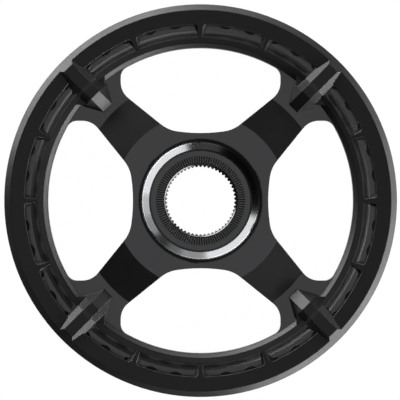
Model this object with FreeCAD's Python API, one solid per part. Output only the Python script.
# Splined bicycle chainring: a one-piece toothed alloy body between two moulded chain guards.
# The spline's axis is +Z, the side away from the bicycle is up, and z = 0 is the plane
# that the inner guard's back lies on. Lengths are in millimetres and angles in degrees.
import FreeCAD, Part
import math
import os
from FreeCAD import Vector

AXIS = Vector(0, 0, 1)
ORIGIN = Vector(0, 0, 0)
OVERSHOOT = 5.0

# Chain and teeth
CHAIN_PITCH = 12.7
TOOTH_COUNT = 44
ROLLER_DIAMETER = 7.75
ROLLER_PLAY = 0.05
SEAT_ANGLE = 130.0
SEAT_FACETS = 4
TOOTH_RISE = 3.0
TOOTH_WIDTH = 2.1
TOOTH_TIP_WIDTH = 1.0
TOOTH_TIP_TAPER = 3.5
CHAIN_WIDTH = 7.0
CHAIN_CLEARANCE = 0.55

# Toothed rim of the body
PLATE_THICKNESS = 4.0
SHOULDER_BELOW_ROOT = 1.4
SHOULDER_WIDTH = 1.55

# Arms and the openings between them
ARM_COUNT = 4
ARM_WIDTH_AT_HUB = 25.0
ARM_WIDTH_AT_FOOT = 21.1
ARM_FLARE_LENGTH = 9.4
ARM_FLARE_ANGLE = 45.0
HUB_WAIST_RADIUS = 33.2
HUB_EDGE_RADIUS = 80.0
HUB_CORNER = 16.3
FLARE_CORNER = 10.0
RIM_CORNER = 5.5

# Hub
HUB_FLAT_RADIUS = 42.6
HUB_RISE = 6.0
HUB_LENGTH = 13.45
HUB_WEB_THICKNESS = 5.5
BOSS_RADIUS = 30.5
SEAT_RADIUS = 24.9
SEAT_DEPTH = 4.5
SEAT_MOUTH_FILLET = 4.0
SPLINE_COUNT = 54
SPLINE_TIP_RADIUS = 16.55
SPLINE_DEPTH = 0.9
SPLINE_LAND = 0.45
SPLINE_LEAD_IN = 1.4
PILOT_RADIUS = 17.7
PILOT_DEPTH = 2.5

# Outer guard
GUARD_OVERHANG = 4.5
GUARD_BEVEL_WIDTH = 2.95
GUARD_BEVEL_ANGLE = 36.0
CHANNEL_ANGLE = 60.0
DISH_ANGLE = 10.0
RIM_WALL_WIDTH = 2.05
RIM_BAND_WIDTH = 2.7
RIM_BAND_RISE = 1.0
RIM_LIP = 1.0
RIM_CHAMFER_WIDTH = 2.0
RIM_CHAMFER_RISE = 1.6
RIM_LEDGE = 0.2
POCKETS_PER_ARM = 4
POCKET_ROOT_SHOWN = 1.5
POCKET_CORNER = 0.9
POCKET_CORNER_REACH = 0.2
RIB_OUTER_WIDTH = 3.2
RIB_INNER_WIDTH = 1.6
RIB_DRAFT = 9.0
GUSSET_WIDTH = 5.6
GUSSET_RISE = 7.2
GUSSET_REACH = 11.1
GUSSET_NOSE = 8.9
GUSSET_DRAFT = 35.0
GUSSET_FLARE = 46.0
GUSSET_FLARE_WIDTH = 3.2
GUSSET_TO_SLOPE = 3.0
EAR_WIDTH = 20.0
EAR_DEPTH = 4.0

# Inner guard
INNER_WALL = 2.2
INNER_STEP_WIDTH = 2.5
INNER_STEP_SETBACK = 1.0
INNER_OVERHANG = 4.0

# Guard screws, driven from the back
SCREW_RADIUS = 2.0
SCREW_CLEARANCE = 0.2
SCREW_BITE = 5.5
SCREW_INSET = 3.8
SCREW_HEAD_ACROSS = 7.0
SCREW_HEAD_HEIGHT = 1.9
PILOT_HOLE_PLAY = 0.02

# Radii and levels that follow from the values above
pitch_radius = CHAIN_PITCH / (2 * math.sin(math.pi / TOOTH_COUNT))
seat_arc_radius = ROLLER_DIAMETER / 2 + ROLLER_PLAY
root_radius = pitch_radius - seat_arc_radius
tip_radius = pitch_radius + TOOTH_RISE
shoulder_foot = root_radius - SHOULDER_BELOW_ROOT
shoulder_top = shoulder_foot - SHOULDER_WIDTH

ridge_radius = shoulder_top - RIM_WALL_WIDTH
band_radius = ridge_radius - RIM_BAND_WIDTH
rim_inner = band_radius - RIM_CHAMFER_WIDTH
opening_radius = rim_inner - RIM_LEDGE
guard_radius = tip_radius + GUARD_OVERHANG
bevel_radius = guard_radius - GUARD_BEVEL_WIDTH
pocket_outer = root_radius + POCKET_ROOT_SHOWN
gusset_tip = rim_inner - GUSSET_REACH
gusset_break = gusset_tip + GUSSET_NOSE
slope_foot = gusset_tip - GUSSET_TO_SLOPE
screw_circle = rim_inner + SCREW_INSET

chain_half = CHAIN_WIDTH / 2 + CHAIN_CLEARANCE
tooth_level = chain_half + INNER_WALL
plate_front = tooth_level + PLATE_THICKNESS / 2
plate_back = tooth_level - PLATE_THICKNESS / 2
channel_top = tooth_level + chain_half
channel_bottom = tooth_level - chain_half
tooth_front = tooth_level + TOOTH_WIDTH / 2
tooth_back = tooth_level - TOOTH_WIDTH / 2
hub_front = plate_front + HUB_RISE
hub_back = hub_front - HUB_LENGTH
seat_level = hub_front - SEAT_DEPTH
band_level = plate_front + RIM_LIP + RIM_CHAMFER_RISE
ridge_level = band_level + RIM_BAND_RISE
gusset_top = plate_front + GUSSET_RISE
flange_back = plate_back - INNER_WALL
channel_inner = shoulder_top + (channel_top - plate_front) / math.tan(math.radians(CHANNEL_ANGLE))
top_of_everything = max(gusset_top, hub_front) + OVERSHOOT
arm_step = 360.0 / ARM_COUNT


def dish_level(radius):
    """Height of the outer guard's dished face, which falls towards the axis."""
    return ridge_level + (radius - ridge_radius) * math.tan(math.radians(DISH_ANGLE))


def polar(radius, angle, z=0.0):
    return Vector(radius * math.cos(math.radians(angle)), radius * math.sin(math.radians(angle)), z)


def turned(shape, angle):
    copy = shape.copy()
    copy.rotate(ORIGIN, AXIS, angle)
    return copy


def around(shape, count, first=0.0):
    """Copies of a shape, evenly spaced round the axis."""
    return [turned(shape, first + 360.0 * k / count) for k in range(count)]


def polygon_face(points):
    return Part.Face(Part.makePolygon(list(points) + [points[0]]))


def turned_solid(profile):
    """A solid of revolution from (radius, height) corners."""
    face = polygon_face([Vector(r, 0, z) for r, z in profile])
    return face.revolve(ORIGIN, AXIS, 360)


def round_edge(solid, radius, z, fillet):
    """Fillets the full circle of one radius and height."""
    edges = [e for e in solid.Edges if is_circle_at(e, radius, z)]
    return solid.makeFillet(fillet, edges)


def is_circle_at(edge, radius, z):
    box = edge.BoundBox
    flat = abs(box.ZMax - z) < 1e-4 and abs(box.ZMin - z) < 1e-4
    return flat and isinstance(edge.Curve, Part.Circle) and abs(edge.Curve.Radius - radius) < 1e-4


# The body: revolved blank

def body_blank():
    """Hub, dished web and toothed rim as one turned blank, before any openings."""
    seat_mouth = SEAT_RADIUS + SEAT_DEPTH
    web_back = hub_front - HUB_WEB_THICKNESS
    core = SPLINE_TIP_RADIUS - SPLINE_DEPTH
    profile = [
        (core, seat_level),
        (SEAT_RADIUS, seat_level),
        (seat_mouth, hub_front),
        (HUB_FLAT_RADIUS, hub_front),
        (slope_foot, plate_front),
        (shoulder_top, plate_front),
        (shoulder_foot, tooth_front),
        (tip_radius, tooth_front),
        (tip_radius, tooth_back),
        (shoulder_foot, tooth_back),
        (shoulder_top, plate_back),
        (slope_foot, plate_back),
        (BOSS_RADIUS, web_back),
        (BOSS_RADIUS, hub_back),
        (PILOT_RADIUS, hub_back),
        (PILOT_RADIUS, hub_back + PILOT_DEPTH),
        (core, hub_back + PILOT_DEPTH),
    ]
    return round_edge(turned_solid(profile), seat_mouth, hub_front, SEAT_MOUTH_FILLET)


# The body: openings between the arms

def arm_point(along, across):
    """A point beside the arm at half a step, across measured towards the opening at angle 0."""
    half = math.radians(arm_step / 2)
    x = along * math.cos(half) + across * math.sin(half)
    y = along * math.sin(half) - across * math.cos(half)
    return Vector(x, y, 0)


def where_line_meets_circle(start, through, centre, radius, nearest_to):
    """The crossing of a line and a circle that lies nearest to a point."""
    way = (through - start).normalize()
    from_centre = start - centre
    half_b = way.dot(from_centre)
    root = math.sqrt(half_b ** 2 - from_centre.dot(from_centre) + radius ** 2)
    crossings = [start + way * (-half_b + sign * root) for sign in (-1, 1)]
    return min(crossings, key=lambda p: p.distanceToPoint(nearest_to))


def opening():
    """One opening as a tall prism: a waisted hub edge, two tapering arms that flare, and the rim."""
    hub_side = arm_point(HUB_FLAT_RADIUS, ARM_WIDTH_AT_HUB / 2)
    foot_side = arm_point(slope_foot, ARM_WIDTH_AT_FOOT / 2)
    taper = (ARM_WIDTH_AT_HUB - ARM_WIDTH_AT_FOOT) / 2 / (slope_foot - HUB_FLAT_RADIUS)
    flare_along = opening_radius - ARM_FLARE_LENGTH
    flare_across = ARM_WIDTH_AT_HUB / 2 - taper * (flare_along - HUB_FLAT_RADIUS)
    flare = arm_point(flare_along, flare_across)
    flare_rise = math.tan(math.radians(ARM_FLARE_ANGLE))
    flare_end = arm_point(flare_along + 1, flare_across + flare_rise)
    hub_centre = Vector(HUB_WAIST_RADIUS + HUB_EDGE_RADIUS, 0, 0)
    hub_corner = where_line_meets_circle(foot_side, hub_side, hub_centre, HUB_EDGE_RADIUS, hub_side)
    rim_corner = where_line_meets_circle(flare, flare_end, ORIGIN, opening_radius, flare_end)

    def mirrored(point):
        return Vector(point.x, -point.y, 0)

    edges = [
        Part.LineSegment(hub_corner, flare).toShape(),
        Part.LineSegment(flare, rim_corner).toShape(),
        Part.Arc(rim_corner, Vector(opening_radius, 0, 0), mirrored(rim_corner)).toShape(),
        Part.LineSegment(mirrored(rim_corner), mirrored(flare)).toShape(),
        Part.LineSegment(mirrored(flare), mirrored(hub_corner)).toShape(),
        Part.Arc(mirrored(hub_corner), Vector(HUB_WAIST_RADIUS, 0, 0), hub_corner).toShape(),
    ]
    prism = Part.Face(Part.Wire(edges)).extrude(AXIS * (top_of_everything + OVERSHOOT))
    prism.translate(Vector(0, 0, -OVERSHOOT))
    corners = ((hub_corner, HUB_CORNER), (flare, FLARE_CORNER), (rim_corner, RIM_CORNER))
    for corner, fillet in corners:
        prism = prism.makeFillet(fillet, upright_edges(prism, (corner, mirrored(corner))))
    return prism


def upright_edges(prism, corners):
    """The edges parallel to the axis that stand on the given corners."""
    found = []
    for edge in prism.Edges:
        middle = edge.BoundBox.Center
        tall = edge.BoundBox.ZLength > OVERSHOOT
        if tall and any(math.hypot(middle.x - c.x, middle.y - c.y) < 1e-3 for c in corners):
            found.append(edge)
    return found


# The body: teeth and spline

def tooth_gap():
    """The space between two teeth at angle 0: a roller seat that opens along two straight flanks."""
    centre = Vector(pitch_radius, 0, 0)
    first = 180.0 - SEAT_ANGLE / 2
    turns = [first + SEAT_ANGLE * k / SEAT_FACETS for k in range(SEAT_FACETS + 1)]
    seat = [centre + polar(seat_arc_radius, turn) for turn in turns]
    beyond = tip_radius + TOOTH_TIP_WIDTH
    mouth = seat[0].y + (beyond - seat[0].x) * math.tan(math.radians(90.0 - SEAT_ANGLE / 2))
    outline = [Vector(beyond, mouth, 0)] + seat + [Vector(beyond, -mouth, 0)]
    gap = polygon_face(outline).extrude(AXIS * 2 * PLATE_THICKNESS)
    gap.translate(Vector(0, 0, tooth_level - PLATE_THICKNESS))
    return gap


def tooth_point():
    """What is cut off around one tooth's tip, at half a step, to thin it on both faces."""
    beyond = tip_radius + OVERSHOOT
    half_thick = PLATE_THICKNESS / 2
    corners = [
        (beyond, half_thick),
        (tip_radius - TOOTH_TIP_TAPER, half_thick),
        (tip_radius - TOOTH_TIP_TAPER, TOOTH_WIDTH / 2),
        (tip_radius * math.cos(math.pi / TOOTH_COUNT / 2), TOOTH_TIP_WIDTH / 2),
    ]
    outline = corners + [(r, -z) for r, z in reversed(corners)]
    face = polygon_face([Vector(r, -CHAIN_PITCH / 2, tooth_level + z) for r, z in outline])
    return turned(face.extrude(Vector(0, CHAIN_PITCH, 0)), 180.0 / TOOTH_COUNT)


def spline_bore():
    """The fine spline's pointed spaces and its bore as one star-shaped prism."""
    half_land = math.degrees(SPLINE_LAND / 2 / SPLINE_TIP_RADIUS)
    step = 360.0 / SPLINE_COUNT
    points = []
    for k in range(SPLINE_COUNT):
        points.append(polar(SPLINE_TIP_RADIUS + SPLINE_DEPTH, k * step))
        points.append(polar(SPLINE_TIP_RADIUS, (k + 0.5) * step - half_land))
        points.append(polar(SPLINE_TIP_RADIUS, (k + 0.5) * step + half_land))
    prism = polygon_face(points).extrude(AXIS * (hub_front - hub_back))
    prism.translate(Vector(0, 0, hub_back))
    return prism


def spline_lead_in():
    """A shallow pyramid that bevels the top of each spline tooth with one flat."""
    corners = [360.0 * k / SPLINE_COUNT for k in range(SPLINE_COUNT)]
    mouth = SPLINE_TIP_RADIUS + SPLINE_LEAD_IN
    narrow = [polar(mouth - OVERSHOOT, a, seat_level - OVERSHOOT) for a in corners]
    wide = [polar(mouth + OVERSHOOT, a, seat_level + OVERSHOOT) for a in corners]
    faces = [polygon_face(narrow), polygon_face(wide)]
    for k in range(SPLINE_COUNT):
        faces.append(polygon_face([narrow[k - 1], narrow[k], wide[k], wide[k - 1]]))
    return Part.makeSolid(Part.makeShell(faces))


def on_screw_circle(radius, bottom, top):
    """A cylinder where the screw at angle 0 stands."""
    return Part.makeCylinder(radius, top - bottom, Vector(screw_circle, 0, bottom))


def hexagon_prism(across, bottom, top):
    """A hexagon where the screw at angle 0 stands, with two flats facing along the arm."""
    corner = across / 2 / math.cos(math.radians(30))
    centre = Vector(screw_circle, 0, bottom)
    outline = [centre + polar(corner, 30 + 60 * k) for k in range(6)]
    return polygon_face(outline).extrude(AXIS * (top - bottom))


def chainring():
    body = body_blank()
    body = body.cut(around(opening(), ARM_COUNT))
    body = body.cut(around(tooth_gap(), TOOTH_COUNT))
    body = body.cut(around(tooth_point(), TOOTH_COUNT))
    body = body.cut([spline_lead_in(), spline_bore()])
    hole_radius = SCREW_RADIUS + SCREW_CLEARANCE
    hole = on_screw_circle(hole_radius, plate_back - OVERSHOOT, plate_front + OVERSHOOT)
    return body.cut(around(hole, ARM_COUNT, arm_step / 2))


# The outer guard

def outer_bevel_level(radius):
    """Height of the bevel's cone, which also trims the gussets."""
    rise = math.tan(math.radians(GUARD_BEVEL_ANGLE))
    return dish_level(bevel_radius) - (radius - bevel_radius) * rise


def outer_guard_blank():
    """Rim, dish and bevelled edge, with the chain's channel beneath."""
    return turned_solid([
        (rim_inner, plate_front),
        (rim_inner, plate_front + RIM_LIP),
        (band_radius, band_level),
        (ridge_radius, ridge_level),
        (bevel_radius, dish_level(bevel_radius)),
        (guard_radius, outer_bevel_level(guard_radius)),
        (guard_radius, channel_top),
        (channel_inner, channel_top),
        (shoulder_top, plate_front),
    ])


def pocket_outline(z):
    """The outline of the pocket that starts at angle 0, drafted inwards below the ridge."""
    draft = (ridge_level - z) * math.tan(math.radians(RIB_DRAFT))
    pitch = arm_step / POCKETS_PER_ARM
    outer_half = math.degrees((RIB_OUTER_WIDTH / 2 + draft) / pocket_outer)
    inner_half = math.degrees((RIB_INNER_WIDTH / 2 + draft) / ridge_radius)
    first_inner = polar(ridge_radius, inner_half, z)
    last_inner = polar(ridge_radius, pitch - inner_half, z)
    first_outer = polar(pocket_outer, outer_half, z)
    last_outer = polar(pocket_outer, pitch - outer_half, z)
    return Part.Wire([
        Part.Arc(first_inner, polar(ridge_radius, pitch / 2, z), last_inner).toShape(),
        Part.LineSegment(last_inner, last_outer).toShape(),
        Part.Arc(last_outer, polar(pocket_outer, pitch / 2, z), first_outer).toShape(),
        Part.LineSegment(first_outer, first_inner).toShape(),
    ])


def pocket():
    """One pocket between two ribs, cut through to the teeth, with its outer corners cut off."""
    low, high = plate_front - OVERSHOOT, gusset_top
    prism = Part.makeLoft([pocket_outline(low), pocket_outline(high)], True, True)
    corners = [e for e in prism.Edges if is_pocket_corner(e)]
    prism = prism.makeChamfer(POCKET_CORNER, corners)
    rim_wall = turned_solid([
        (rim_inner, plate_front - OVERSHOOT),
        (shoulder_top, plate_front - OVERSHOOT),
        (shoulder_top, plate_front),
        (ridge_radius, ridge_level),
        (rim_inner, ridge_level),
    ])
    return prism.cut(rim_wall)


def is_pocket_corner(edge):
    """True for the two upright edges at the pocket's outer side."""
    middle = edge.BoundBox.Center
    radius = math.hypot(middle.x, middle.y)
    return edge.BoundBox.ZLength > OVERSHOOT and abs(radius - pocket_outer) < POCKET_CORNER_REACH


def gusset():
    """The wedge on the arm at angle 0: drafted sides, a flat top and a sloping nose."""
    half_top = GUSSET_WIDTH / 2
    half_base = half_top + GUSSET_RISE * math.tan(math.radians(GUSSET_DRAFT))
    far = guard_radius + OVERSHOOT

    def both_sides(along, across, z):
        return Vector(along, across, z), Vector(along, -across, z)

    tip = both_sides(gusset_tip, half_top, plate_front)
    base = both_sides(gusset_break, half_base, plate_front)
    brow = both_sides(gusset_break, half_top, gusset_top)
    back_base = both_sides(far, half_base, plate_front)
    back_top = both_sides(far, half_top, gusset_top)
    faces = [
        [tip[0], brow[0], brow[1], tip[1]],
        [brow[0], back_top[0], back_top[1], brow[1]],
        [back_top[0], back_base[0], back_base[1], back_top[1]],
        [tip[0], tip[1], base[1], back_base[1], back_base[0], base[0]],
    ]
    for side in (0, 1):
        faces.append([tip[side], base[side], brow[side]])
        faces.append([base[side], back_base[side], back_top[side], brow[side]])
    shell = Part.makeShell([polygon_face(points) for points in faces])
    return Part.makeSolid(shell).common(gusset_envelope())


def gusset_flare():
    """The gusset's wider foot on the dish, which also closes the ends of the pockets beside it."""
    half_top = GUSSET_WIDTH / 2
    half_foot = half_top + GUSSET_FLARE_WIDTH
    foot_level = gusset_top - GUSSET_FLARE_WIDTH / math.tan(math.radians(GUSSET_FLARE))
    half_section = [(half_top, gusset_top), (half_foot, foot_level), (half_foot, channel_top)]
    section = half_section + [(-across, z) for across, z in reversed(half_section)]
    start = (band_radius + ridge_radius) / 2
    face = polygon_face([Vector(start, across, z) for across, z in section])
    flare = face.extrude(Vector(guard_radius, 0, 0))
    return flare.common(gusset_envelope())


def gusset_envelope():
    """What the gussets may fill: inside the bevel's cone and clear of the chain's channel."""
    top = gusset_top + OVERSHOOT
    rise = math.tan(math.radians(GUARD_BEVEL_ANGLE))
    top_radius = bevel_radius - (top - dish_level(bevel_radius)) / rise
    return turned_solid([
        (slope_foot, plate_front),
        (shoulder_top, plate_front),
        (channel_inner, channel_top),
        (guard_radius, channel_top),
        (guard_radius, outer_bevel_level(guard_radius)),
        (top_radius, top),
        (slope_foot, top),
    ])


def ear():
    """The pad that spreads the rim along both sides of the gusset at angle 0."""
    half_wide = EAR_WIDTH / 2
    half_narrow = half_wide - EAR_DEPTH
    wide_along = math.sqrt(band_radius ** 2 - half_wide ** 2)
    outline = [
        Vector(wide_along - EAR_DEPTH, half_narrow, plate_front),
        Vector(wide_along, half_wide, plate_front),
        Vector(ridge_radius - RIM_WALL_WIDTH, half_wide, plate_front),
        Vector(ridge_radius - RIM_WALL_WIDTH, -half_wide, plate_front),
        Vector(wide_along, -half_wide, plate_front),
        Vector(wide_along - EAR_DEPTH, -half_narrow, plate_front),
    ]
    return polygon_face(outline).extrude(AXIS * (band_level - plate_front))


def outer_guard():
    guard = outer_guard_blank().cut(around(pocket(), ARM_COUNT * POCKETS_PER_ARM))
    first = arm_step / 2
    on_each_arm = [around(shape, ARM_COUNT, first) for shape in (ear(), gusset(), gusset_flare())]
    guard = guard.fuse(sum(on_each_arm, []))
    across = 2 * (SCREW_RADIUS + PILOT_HOLE_PLAY)
    hole = hexagon_prism(across, plate_front - OVERSHOOT, plate_front + SCREW_BITE)
    return guard.cut(around(hole, ARM_COUNT, first)).removeSplitter()


# The inner guard

def inner_guard():
    """A plain ring behind the teeth: a flange on the toothed rim, stepped back to clear the chain."""
    outer = tip_radius + INNER_OVERHANG
    back_step = shoulder_top + INNER_STEP_SETBACK
    ring = turned_solid([
        (rim_inner, plate_back),
        (shoulder_top, plate_back),
        (channel_inner, channel_bottom),
        (outer, channel_bottom),
        (outer, 0),
        (back_step + INNER_STEP_WIDTH, 0),
        (back_step, flange_back),
        (rim_inner, flange_back),
    ])
    hole_radius = SCREW_RADIUS + SCREW_CLEARANCE
    hole = on_screw_circle(hole_radius, flange_back - OVERSHOOT, plate_back + OVERSHOOT)
    return ring.cut(around(hole, ARM_COUNT, arm_step / 2))


# The screws

def guard_screw():
    """One hexagon-headed screw, standing head down at angle 0."""
    head = hexagon_prism(SCREW_HEAD_ACROSS, flange_back - SCREW_HEAD_HEIGHT, flange_back)
    return head.fuse(on_screw_circle(SCREW_RADIUS, flange_back, plate_front + SCREW_BITE))


def guard_screws():
    return Part.makeCompound(around(guard_screw(), ARM_COUNT, arm_step / 2))


def main():
    os.makedirs("parts", exist_ok=True)
    nodes = {
        "chainring": chainring(),
        "outer_guard": outer_guard(),
        "inner_guard": inner_guard(),
        "guard_screws": guard_screws(),
    }
    for name, shape in nodes.items():
        shape.exportStep(f"parts/{name}.step")
        solids = shape.Solids
        volume = round(shape.Volume / 1000, 2)
        print(name, len(solids), "solid(s)", volume, "cm3, valid", shape.isValid())


main()
